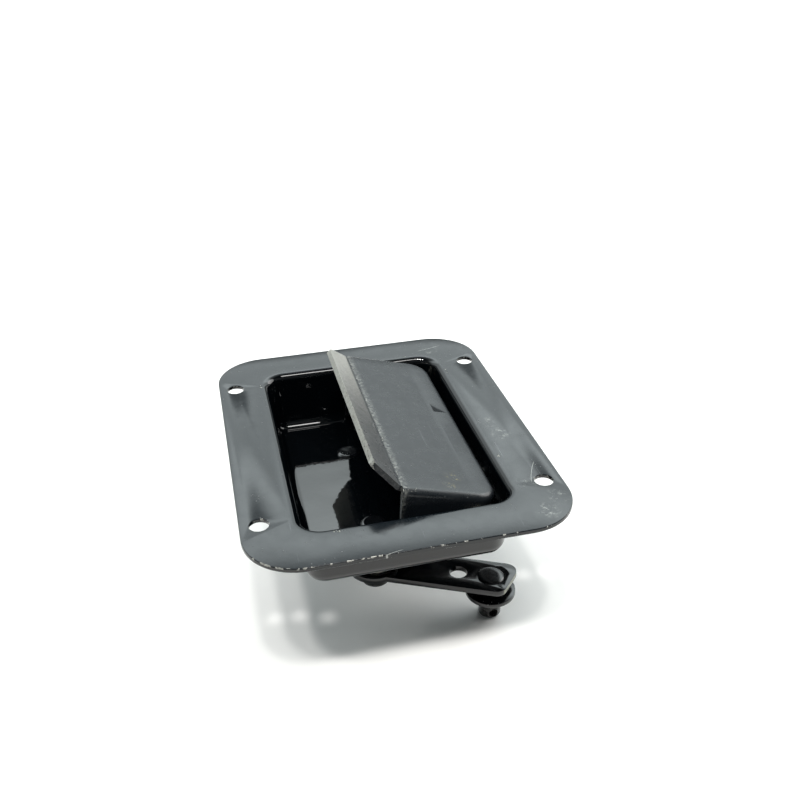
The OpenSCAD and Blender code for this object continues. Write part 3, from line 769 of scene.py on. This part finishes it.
def arm_shape():
    low, high = ARM_TOP - ARM_T, ARM_TOP
    swing = LEG_TURN - ARM_TURN
    hub = 10.0
    start = math.asin(ARM_HALF / hub)
    slant = ARM_HALF * math.tan(END_SLANT)
    corners = [(hub * math.cos(-start), -ARM_HALF, 0), (ARM_END - slant, -ARM_HALF, 4.0),
               (ARM_END + slant, ARM_HALF, 4.0)]
    cos_s, sin_s = math.cos(swing), math.sin(swing)
    leg_half, leg_end = 6.0, 41.0

    def on_leg(along, across):
        return (along * cos_s - across * sin_s, along * sin_s + across * cos_s)

    # where the long arm's upper side meets the driven leg's near side
    along = (ARM_HALF + leg_half * cos_s) / sin_s
    meet = on_leg(along, -leg_half)
    corners += [(meet[0], meet[1], 3.0), (*on_leg(21.4, -leg_half), 0), (*on_leg(21.4, -3.0), 0),
                (*on_leg(leg_end, -3.0), 0), (*on_leg(leg_end, leg_half), 1.5)]
    outline = rounded(corners, 8)
    finish_at = math.atan2(*reversed(on_leg(math.sqrt(hub ** 2 - leg_half ** 2), leg_half)))
    for k in range(24):
        a = finish_at + (2 * math.pi - start - finish_at) * k / 24
        outline.append((hub * math.cos(a), hub * math.sin(a)))
    base = plate(outline, low, high, 0.28)
    # the tab: the leg's near edge is bent up square
    r_in = 0.9
    r_out = r_in + ARM_T
    tab_top = arm_high.z
    face = -leg_half
    section = [(-2.7, low), (-2.7, high)]
    section += [(face + r_out + r_in * math.cos(math.radians(a)),
                 high + r_in + r_in * math.sin(math.radians(a))) for a in range(270, 179, -15)]
    section += [(face + ARM_T, tab_top - 0.25), (face + ARM_T - 0.25, tab_top), (face + 0.25, tab_top),
                (face, tab_top - 0.25)]
    section += [(face + r_out + r_out * math.cos(math.radians(a)),
                 low + r_out + r_out * math.sin(math.radians(a))) for a in range(180, 271, 15)]
    tab = bmesh.new()
    one = [tab.verts.new((22.0, y, z)) for y, z in section]
    two = [tab.verts.new((leg_end, y, z)) for y, z in section]
    tab.faces.new(one)
    tab.faces.new(list(reversed(two)))
    for i in range(len(section)):
        j = (i + 1) % len(section)
        tab.faces.new((one[i], two[i], two[j], one[j]))
    bmesh.ops.transform(tab, matrix=Matrix.Rotation(swing, 4, "Z"), verts=tab.verts)
    bmesh.ops.recalc_face_normals(tab, faces=tab.faces)
    whole = combine(base, [tab], "UNION")
    tools = [hole_tool(5.0, low, high, 0.15),
             hole_tool(SPARE_HOLE[1], low, high, 0.22, 40, (SPARE_HOLE[0], 0)),
             hole_tool(ROD_R, low, high, 0.1, 40, (ROD_REACH, 0))]
    return combine(whole, tools, "DIFFERENCE")


arm_place = Matrix.Translation((POSTS[0][0], POSTS[0][1], 0)) @ Matrix.Rotation(ARM_TURN, 4, "Z")
finished("lever_arm_plate", arm_shape(), "arm", ["actuator_arm"], arm_enamel_with_shade, 30, arm_place)


# ---------------------------------------------------------------- rod pin and its washer

def rod_pin_shape():
    low, top, r = rod_low.z, ARM_TOP, ROD_R
    shoulder, washer_low = washer_high.z, washer_at.z
    profile = [(0, top + 0.5), (2.4, top + 0.52), (3.6, top + 0.5), (4.2, top + 0.4), (4.65, top + 0.2),
               (4.8, top + 0.02), (r - 0.02, top), (r - 0.02, top - ARM_T), (5.35, top - ARM_T),
               (5.6, top - ARM_T - 0.25), (5.6, shoulder + 0.2), (5.4, shoulder), (r, shoulder),
               (r, washer_low), (3.2, washer_low - 0.3), (3.2, washer_low - 1.2), (r, washer_low - 1.5),
               (r, low + 0.8), (r - 0.22, low + 0.35), (r - 0.77, low + 0.05), (r - 1.3, low),
               (r - 2, low + 0.12), (0, low + 0.2)]
    pin = turned_piece(profile, 64)
    drill = hole_tool(1.6, -r + 0.08, r - 0.08, 0.3, 32)
    aim = Matrix.Rotation(math.radians(-86), 4, "Z") @ Matrix.Rotation(math.pi / 2, 4, "Y")
    bmesh.ops.transform(drill, matrix=Matrix.Translation((0, 0, low + 2.3)) @ aim, verts=drill.verts)
    return combine(pin, [drill], "DIFFERENCE")


finished("rod_pin_turned", rod_pin_shape(), "arm", ["rod_pin"], pin_enamel, 28,
         Matrix.Translation((ROD[0], ROD[1], 0)))
finished("rod_pin_washer_ring",
         turned_piece(washer_profile(ROD_R, (washer_high.x - washer_at.x) / 2, washer_at.z, washer_high.z,
                                     0.3), 72, ROD), "arm", ["rod_pin_washer"], pin_enamel, 26)


# ---------------------------------------------------------------- paddle

def paddle_shape():
    """The paddle's sheet in its own frame: crease along Y at the origin, face towards +X."""
    corner, bend = 8.0, 2.5
    end_x, end_y = 34.8 - corner, SKIRT_Y - corner
    flat = corner - bend
    start_x = 0.65
    cos_s, sin_s = math.cos(SLOPE), math.sin(SLOPE)
    hinge_x, hinge_z = HINGE
    skirt_end = -19.0

    def within(x, z):
        """Whether a point of the skirts lies above their trimmed lower edge."""
        real_x = CREASE[0] + x * cos_s + z * sin_s
        real_z = CREASE[1] - x * sin_s + z * cos_s
        if real_x <= hinge_x or real_z >= hinge_z:
            return real_z > skirt_end
        return math.hypot(real_x - hinge_x, real_z - hinge_z) < 12.5

    def front(z):
        return max(start_x, -0.2209 * z)

    sides = 14
    stations = [("near", i / sides) for i in range(sides)]
    stations += [("near_corner", i / 10) for i in range(10)]
    stations += [("back", i / 12) for i in range(12)]
    stations += [("far_corner", i / 10) for i in range(10)]
    stations += [("far", i / sides) for i in range(sides + 1)]

    def at(part, t, reach, z):
        if part == "near":
            x0 = front(z)
            return (x0 + t * (end_x - x0), -end_y - reach, z)
        if part == "far":
            x0 = front(z)
            return (end_x + t * (x0 - end_x), end_y + reach, z)
        if part == "back":
            return (end_x + reach, -end_y + 2 * end_y * t, z)
        a = math.radians(-90 + 90 * t) if part == "near_corner" else math.radians(90 * t)
        centre_y = -end_y if part == "near_corner" else end_y
        return (end_x + reach * math.cos(a), centre_y + reach * math.sin(a), z)

    shape = bmesh.new()
    columns = []
    for part, t in stations:
        deep = -bend
        while within(*(at(part, t, corner, deep)[0::2])) and deep > -34:
            deep -= 0.02
        rows = []
        base = at(part, t, 0, 0)
        middle = (min(base[0], end_x), 0.0, 0.0)
        if part == "back":
            middle = (end_x, 0.0, 0.0)
        for k in range(5):
            share = k / 5
            rows.append(tuple(middle[i] + (base[i] - middle[i]) * share for i in range(3)))
        rows.append(base)
        rows.append(at(part, t, flat, 0))
        for k in range(1, 7):
            a = math.radians(90 * k / 6)
            rows.append(at(part, t, flat + bend * math.sin(a), -bend + bend * math.cos(a)))
        for k in range(1, 9):
            rows.append(at(part, t, corner, -bend + (deep + bend) * k / 8))
        columns.append([shape.verts.new(p) for p in rows])
    for one, two in zip(columns, columns[1:]):
        for i in range(len(one) - 1):
            shape.faces.new((one[i], one[i + 1], two[i + 1], two[i]))

    # the lip carries on from the face's front edge, round the crease's bend, and its ends are cut back
    turn = math.radians(29.0)
    r = 2.5
    half = SKIRT_Y - bend
    edge = [v.co.copy() for v in reversed(columns[0][:7])] + [v.co.copy() for v in columns[-1][1:7]]
    spine = [(start_x - r * math.sin(turn * k / 6), r - r * math.cos(turn * k / 6)) for k in range(7)]
    last = spine[-1]
    tip = (-10.3 * math.cos(turn), 10.3 * math.sin(turn))
    spine += [(last[0] + (tip[0] - last[0]) * s, last[1] + (tip[1] - last[1]) * s)
              for s in (0.2, 0.4, 0.6, 0.76, 0.86, 0.93, 0.98, 1.0)]
    rows = []
    for x, z in spine:
        reach = half + min(x, 0.0) * (half - 41.0) / 10.9
        left = math.hypot(x - tip[0], z - tip[1])
        if left < 1.6:
            reach -= 1.6 - math.sqrt(max(0.0, 1.6 ** 2 - (1.6 - left) ** 2))
        rows.append([shape.verts.new((x, v.y * reach / half, z)) for v in edge])
    for one, two in zip(rows, rows[1:]):
        for i in range(len(one) - 1):
            shape.faces.new((one[i], one[i + 1], two[i + 1], two[i]))
    bmesh.ops.remove_doubles(shape, verts=shape.verts, dist=1e-3)
    bmesh.ops.recalc_face_normals(shape, faces=shape.faces)
    shape.faces.ensure_lookup_table()
    up = sum((f.normal.z * f.calc_area() for f in shape.faces if abs(f.normal.z) > 0.9), 0.0)
    if up < 0:
        bmesh.ops.reverse_faces(shape, faces=shape.faces)
    thing = loose_object("paddle_sheet", shape)
    wall = thing.modifiers.new("sheet", "SOLIDIFY")
    wall.thickness = PADDLE_T
    wall.offset = -1.0
    wall.use_even_offset = True
    ease = thing.modifiers.new("rims", "BEVEL")
    ease.width = 0.3
    ease.segments = 2
    ease.limit_method = "ANGLE"
    ease.angle_limit = math.radians(55)
    return settled(thing)


paddle_spot = Matrix.Translation((CREASE[0], 0, CREASE[1])) @ Matrix.Rotation(SLOPE, 4, "Y")
finished("paddle_pressing", paddle_shape(), "paddle", ["paddle_handle"], paddle_enamel, 40,
         paddle_spot)


# ---------------------------------------------------------------- hinge pin, clip, washers, sleeves, finger

hinge_place = Matrix.Translation((HINGE[0], 0, HINGE[1])) @ Matrix.Rotation(-math.pi / 2, 4, "X")


def along_hinge(profile, steps=48):
    """Turns a (radius, Y) outline about the hinge's line."""
    shape = turned_piece(profile, steps)
    bmesh.ops.transform(shape, matrix=hinge_place, verts=shape.verts)
    return shape


SEAT = 53.6
near_end, far_end = pin_low.y, pin_high.y
pin_profile = [(0, near_end), (2.0, near_end), (2.35, near_end + 0.2), (2.5, near_end + 0.5),
               (2.5, -SEAT - 0.9), (1.9, -SEAT - 0.9), (1.9, -SEAT), (2.5, -SEAT), (2.5, SEAT), (3.85, SEAT),
               (4.0, SEAT + 0.15), (3.95, SEAT + 0.7), (3.4, SEAT + 1.2), (2.2, SEAT + 1.5), (0, far_end)]
finished("hinge_pin_turned", along_hinge(pin_profile), "pan", ["hinge_pin"], zinc_plate, 30)


def clip_shape():
    """A spring-steel ring with three inner lugs and an open mouth, its rims eased."""
    def outline(ease):
        points = []
        for k in range(61):
            a = math.radians(35 + 290 * k / 60)
            points.append(((4.3 - ease) * math.cos(a), (4.3 - ease) * math.sin(a)))
        for k in range(61):
            a = math.radians(325 - 290 * k / 60)
            lug = min(abs(math.degrees(a) - m) for m in (42, 180, 318))
            r = ease + (1.95 if lug < 14 else (2.75 if lug > 20 else 1.95 + 0.8 * (lug - 14) / 6))
            points.append((r * math.cos(a), r * math.sin(a)))
        return points

    low, high, rim = -SEAT - 0.8, -SEAT, 0.08
    shape = bmesh.new()
    rings = [[shape.verts.new((x, y, z)) for x, y in outline(ease)]
             for z, ease in ((low, rim), (low + rim, 0), (high - rim, 0), (high, rim))]
    for one, two in zip(rings, rings[1:]):
        bridge(shape, one, two)
    shape.faces.new(list(reversed(rings[0])))
    shape.faces.new(rings[-1])
    bmesh.ops.recalc_face_normals(shape, faces=shape.faces)
    bmesh.ops.transform(shape, matrix=hinge_place, verts=shape.verts)
    return shape


finished("hinge_pin_clip_ring", clip_shape(), "pan", ["hinge_pin_clip"], spring_wire, 30)
washers = along_hinge(washer_profile(2.55, 4.0, SKIRT_Y + 0.1, SKIRT_Y + 1.3, 0.12))
low_washer = washers.copy()
bmesh.ops.transform(low_washer, matrix=Matrix.Translation((0, -2 * SKIRT_Y - 1.4, 0)), verts=low_washer.verts)
pair = bpy.data.meshes.new("pair")
low_washer.to_mesh(pair)
low_washer.free()
washers.from_mesh(pair)
bpy.data.meshes.remove(pair)
finished("hinge_washer_pair", washers, "pan", ["hinge_washers"], natural_nylon, 26)
for name, node in (("near_sleeve_tube", "hinge_sleeve_near"), ("far_sleeve_tube", "hinge_sleeve_far")):
    low, high = span(node)
    finished(name, along_hinge(washer_profile(2.55, 3.8, low.y, high.y, 0.25)), "paddle", [node],
             natural_nylon, 26)


def under_face(x):
    """Height of the underside of the paddle's face."""
    return CREASE[1] - (x - CREASE[0]) * math.tan(SLOPE) - PADDLE_T / math.cos(SLOPE)


def finger_shape():
    """The drive finger: a flat blank on edge, joined to a weld flange under the paddle's face."""
    low, high = span("drive_finger")

    def under(x):
        return under_face(x) - 0.02

    side = rounded([(7.0, under(7.0), 0.3), (7.0, under(7.0) - 3, 1.0), (19.0, -14.0, 6.0),
                    (19.0, low.z, 1.2), (27.0, low.z, 1.2), (27.0, -19.8, 0.8), (24.1, -19.3, 0.8),
                    (27.2, under(27.2), 0.4)], 6)
    blade = plate(side, -5.0, -1.0, 0.25)
    stand = Matrix.Rotation(math.pi / 2, 4, "X")
    bmesh.ops.transform(blade, matrix=stand, verts=blade.verts)
    strip = [(7.0, under(7.0)), (7.0, under(7.0) - 2.2), (25.2, under(25.2) - 2.2), (25.2, under(25.2))]
    flange = plate(strip, -13.0, -1.4, 0.2)
    bmesh.ops.transform(flange, matrix=stand, verts=flange.verts)
    return combine(blade, [flange], "UNION")


finished("drive_finger_blank", finger_shape(), "paddle", ["drive_finger"], arm_enamel_with_shade, 32)


# ---------------------------------------------------------------- what follows a path or repeats

def new_group(name, inputs):
    """An empty Geometry Nodes tree with these inputs after its path, and the node that gives them."""
    tree = bpy.data.node_groups.new(name, "GeometryNodeTree")
    for title, kind in (("Path", "Geometry"), *inputs, ("Finish", "Material")):
        tree.interface.new_socket(title, in_out="INPUT", socket_type="NodeSocket" + kind)
    tree.interface.new_socket("Made", in_out="OUTPUT", socket_type="NodeSocketGeometry")
    return tree, add(tree, "NodeGroupInput")


def end_group(tree, given, grown_mesh):
    """Makes the instances real, smooths them and gives them their finish."""
    real = add(tree, "GeometryNodeRealizeInstances", {0: grown_mesh})
    smooth = add(tree, "GeometryNodeSetShadeSmooth", {"Geometry": real})
    coated = add(tree, "GeometryNodeSetMaterial", {"Geometry": smooth, "Material": given.outputs["Finish"]})
    add(tree, "NodeGroupOutput", {"Made": coated})
    return tree


def wire_tree():
    """Geometry Nodes: round wire swept along a path of edges."""
    tree, given = new_group("drawn_wire", (("Wire radius", "Float"), ("Sides", "Int")))
    path = add(tree, "GeometryNodeMeshToCurve", {"Mesh": given.outputs["Path"]})
    section = add(tree, "GeometryNodeCurvePrimitiveCircle",
                  {"Resolution": given.outputs["Sides"], "Radius": given.outputs["Wire radius"]})
    return end_group(tree, given, add(tree, "GeometryNodeCurveToMesh",
                                      {"Curve": path, "Profile Curve": section, "Fill Caps": True}))


def bead_tree():
    """Geometry Nodes: a run of overlapping weld ripples along a straight line."""
    tree, given = new_group("weld_bead", (("Ripples", "Int"), ("Bead radius", "Float")))
    path = add(tree, "GeometryNodeMeshToCurve", {"Mesh": given.outputs["Path"]})
    spaced = add(tree, "GeometryNodeResampleCurve", {"Curve": path, "Count": given.outputs["Ripples"]})
    ball = add(tree, "GeometryNodeMeshUVSphere",
               {"Segments": 14, "Rings": 9, "Radius": given.outputs["Bead radius"]})
    jitter = add(tree, "FunctionNodeRandomValue", {2: 0.88, 3: 1.08, "Seed": 5}, data_type="FLOAT")
    return end_group(tree, given, add(tree, "GeometryNodeInstanceOnPoints",
                                      {"Points": spaced, "Instance": ball.outputs["Mesh"],
                                       "Scale": jitter.outputs[1]}))


def grown(name, path, tree, sizes, body, nodes):
    """Runs a tree over a path of points in millimetres and keeps the plain mesh as a piece."""
    mesh = bpy.data.meshes.new(name)
    mesh.from_pydata([[c * MM for c in p] for p in path], [(i, i + 1) for i in range(len(path) - 1)], [])
    source = bpy.data.objects.new("path", mesh)
    scene.collection.objects.link(source)
    grow = source.modifiers.new("grow", "NODES")
    grow.node_group = tree
    for item in tree.interface.items_tree:
        if item.in_out == "INPUT" and item.name in sizes:
            grow[item.identifier] = sizes[item.name]
    bpy.context.view_layer.update()
    made = bpy.data.meshes.new_from_object(source.evaluated_get(bpy.context.evaluated_depsgraph_get()))
    source.modifiers.clear()
    bpy.data.objects.remove(source)
    bpy.data.meshes.remove(mesh)
    made.name = name
    made.set_sharp_from_angle(angle=math.radians(40))
    return placed(made, body, nodes)


wire = wire_tree()
bead = bead_tree()


def eased(points, steps=6, r=1.2):
    """A path of 3-D points with its corners turned into short curves."""
    path = [Vector(points[0])]
    for before, here, after in zip(points, points[1:], points[2:]):
        here = Vector(here)
        back, on = Vector(before) - here, Vector(after) - here
        cut = min(r, back.length * 0.45, on.length * 0.45)
        one, two = here + back.normalized() * cut, here + on.normalized() * cut
        for k in range(steps + 1):
            t = k / steps
            path.append(one * (1 - t) ** 2 + here * 2 * t * (1 - t) + two * t ** 2)
    path.append(Vector(points[-1]))
    return path


COIL_R, PADDLE_WIRE = 4.8, 1.4
SPRING_START = 22.0                     # where the paddle springs begin on Y
PITCH = 1.08 * PADDLE_WIRE
for side, word in ((-1, "near"), (1, "far")):
    step = PITCH / (2 * math.pi)
    coil = [(HINGE[0] + COIL_R * math.cos(a), side * (SPRING_START + step * (a - math.pi / 2)),
             HINGE[1] + COIL_R * math.sin(a)) for a in [math.radians(90 + 10 * k) for k in range(260)]]
    end_y = side * (SPRING_START + PITCH * 7.25)
    floor_leg = FLOOR_Z + PADDLE_WIRE / 2 + 0.2
    fixed = coil + [(HINGE[0] - COIL_R, end_y, HINGE[1])]
    tail = eased([(HINGE[0] - COIL_R, end_y, HINGE[1] - 1), (HINGE[0] - COIL_R, end_y, floor_leg),
                  (HINGE[0] - 0.5, end_y, floor_leg)])
    grown(f"{word}_spring_coil", fixed + [tuple(p) for p in tail], wire,
          {"Wire radius": PADDLE_WIRE / 2 * MM, "Sides": 12, "Finish": spring_wire}, "pan",
          [])
    moving = coil[7::-1] + [(HINGE[0] + 2.5, side * SPRING_START, HINGE[1] + 4.55),
                            (HINGE[0] + 4.6, side * SPRING_START, HINGE[1] + 4.2)]
    grown(f"{word}_spring_leg", moving, wire,
          {"Wire radius": PADDLE_WIRE / 2 * 0.985 * MM, "Sides": 12, "Finish": spring_wire}, "paddle",
          [f"paddle_spring_{word}"])

ARM_WIRE = 1.6
ARM_COIL = POST_R + ARM_WIRE / 2 + 1
top_z = FLOOR_Z - SHEET - ARM_WIRE / 2 - 0.2
low_z = -36.0
last_turn = 360 * 5.9
coil = []
for k in range(213):
    a = math.radians(-last_turn * k / 212)
    share = max(0.0, (k - 10) / 202)
    coil.append((POSTS[0][0] + ARM_COIL * math.cos(a), POSTS[0][1] + ARM_COIL * math.sin(a),
                 top_z + (low_z - top_z) * share))
upper = [(POSTS[1][0] + SPRING_POST_R + ARM_WIRE / 2, POSTS[1][1] + 4, top_z),
         (coil[0][0] - 0.6, POSTS[0][1] + 4.5, top_z)]
grown("arm_spring_coil", upper + coil[1:], wire,
      {"Wire radius": ARM_WIRE / 2 * MM, "Sides": 12, "Finish": spring_wire}, "pan", [])
hook = on_arm(20.0, ARM_HALF + ARM_WIRE / 2)
hook_lead = on_arm(14.0, ARM_HALF + ARM_WIRE / 2 + 3.0)
leg = eased([coil[-1], (hook_lead[0], hook_lead[1], -36.6), (hook[0], hook[1], -37.2),
             (hook[0], hook[1], ARM_TOP - ARM_T - 1)], 6, 1.5)
grown("arm_spring_leg", coil[-9:-1] + [tuple(p) for p in leg], wire,
      {"Wire radius": ARM_WIRE / 2 * 0.985 * MM, "Sides": 12, "Finish": spring_wire}, "arm",
      ["arm_return_spring"])


grown("finger_weld_bead", [(7.6, 13.0, under_face(7.6) - 0.35), (24.6, 13.0, under_face(24.6) - 0.35)], bead,
      {"Ripples": 22, "Bead radius": 0.85 * MM, "Finish": arm_enamel_with_shade}, "paddle", [])


# ---------------------------------------------------------------- floor, light and camera

def floor_material():
    """A plain white laminate table: even, faintly mottled."""
    material, tree, shader, place = new_material("white_table_laminate")
    mottle = add(tree, "grain", {"Vector": place, "Scale": per_mm(60.0), "Detail": 3.0})
    colour = add(tree, "blend", {0: mottle, 6: linear("#efeeec"), 7: linear("#f4f3f1")})
    tree.links.new(colour.outputs[2], shader.inputs["Base Color"])
    shader.inputs["Roughness"].default_value = 0.55
    relief = add(tree, "relief",
                 {"Height": add(tree, "grain", {"Vector": place, "Scale": per_mm(1.2), "Detail": 2.0}),
                  "Distance": 0.005 * MM})
    tree.links.new(relief.outputs[0], shader.inputs["Normal"])
    return material


table = bmesh.new()
bmesh.ops.create_grid(table, x_segments=2, y_segments=2, size=6000.0)
bmesh.ops.translate(table, verts=table.verts, vec=(0, 0, cad_low.z / MM - 0.3))
table_mesh = bpy.data.meshes.new("table_top")
table.to_mesh(table_mesh)
table.free()
table_mesh.transform(Matrix.Scale(MM, 4))
table_mesh.materials.append(floor_material())
table_top = bpy.data.objects.new("table_top", table_mesh)
scene.collection.objects.link(table_top)

# the room: a bright window wall beyond the object, brighter towards its right, dim on the camera's side
world = bpy.data.worlds.new("pale_room")
scene.world = world
world.use_nodes = True
sky = world.node_tree
sky.nodes.clear()
way = add(sky, "ShaderNodeTexCoord").outputs["Generated"]
way_parts = add(sky, "ShaderNodeSeparateXYZ", {0: way})
rise = add(sky, "ShaderNodeValToRGB", {0: way_parts.outputs[2]})
levels = ((0.0, 0.04), (0.22, 0.06), (0.28, 0.40), (0.45, 0.42), (0.52, 0.48), (0.61, 0.97), (0.71, 1.0),
          (0.82, 0.24), (1.0, 0.12))
while len(rise.color_ramp.elements) < len(levels):
    rise.color_ramp.elements.new(0.5)
for element, (height, value) in zip(rise.color_ramp.elements, levels):
    element.position = height
    element.color = (value, value, value, 1)
beyond = add(sky, "ramp",
             {"Value": way_parts.outputs[1], "From Min": -0.1, "From Max": 0.5, "To Min": 0.06,
              "To Max": 1.0})
rightward = add(sky, "ShaderNodeMapRange", {"Value": way_parts.outputs[0], "From Min": -0.3, "From Max": 0.6,
                                            "To Min": 3.6, "To Max": 4.6})
room = add(sky, "times", (add(sky, "times", (rise, beyond)), rightward))
direct = add(sky, "ShaderNodeLightPath").outputs["Is Camera Ray"]
level = add(sky, "ShaderNodeMix", {0: direct, 2: room, 3: 1.0})
glow = add(sky, "ShaderNodeBackground", {"Color": linear("#eef8f9"), "Strength": level.outputs[0]})
add(sky, "ShaderNodeOutputWorld", {"Surface": glow})

# three ceiling lamps in a row and a wider panel, nearly overhead, and a wide soft light low on the right
lamps = (("ceiling_lamp_near", (-0.04, -0.32, 0.945), 0.88, 4.5),
         ("ceiling_lamp_mid", (-0.185, -0.30, 0.935), 0.88, 4.5),
         ("ceiling_lamp_far", (-0.34, -0.24, 0.91), 0.88, 4.5),
         ("ceiling_panel", (0.11, -0.28, 0.95), 0.5, 12.0), ("right_softbox", (0.86, 0.12, 0.50), 1.35, 40.0))
for name, lamp_way, power, wide in lamps:
    lamp_data = bpy.data.lights.new(name, "SUN")
    lamp_data.energy = power
    lamp_data.angle = math.radians(wide)
    lamp_data.color = (1.0, 0.99, 0.97)
    lamp = bpy.data.objects.new(name, lamp_data)
    lamp.rotation_euler = Vector(lamp_way).to_track_quat("Z", "Y").to_euler()
    scene.collection.objects.link(lamp)

camera_data = bpy.data.cameras.new("camera")
camera = bpy.data.objects.new("camera", camera_data)
camera_at = Vector((-54.41, -279.22, 176.27)) * MM
aim_at = Vector((14.34, 22.39, 0.0)) * MM
roll = math.radians(-1.32)
look = (aim_at - camera_at).normalized()
camera.location = camera_at
camera.rotation_mode = "QUATERNION"
camera.rotation_quaternion = look.to_track_quat("-Z", "Y") @ Euler((0, 0, roll)).to_quaternion()
camera_data.sensor_width = 36.0
camera_data.lens = 40.89
camera_data.clip_start = 0.01
scene.collection.objects.link(camera)
scene.camera = camera
scene.view_settings.view_transform = "Standard"
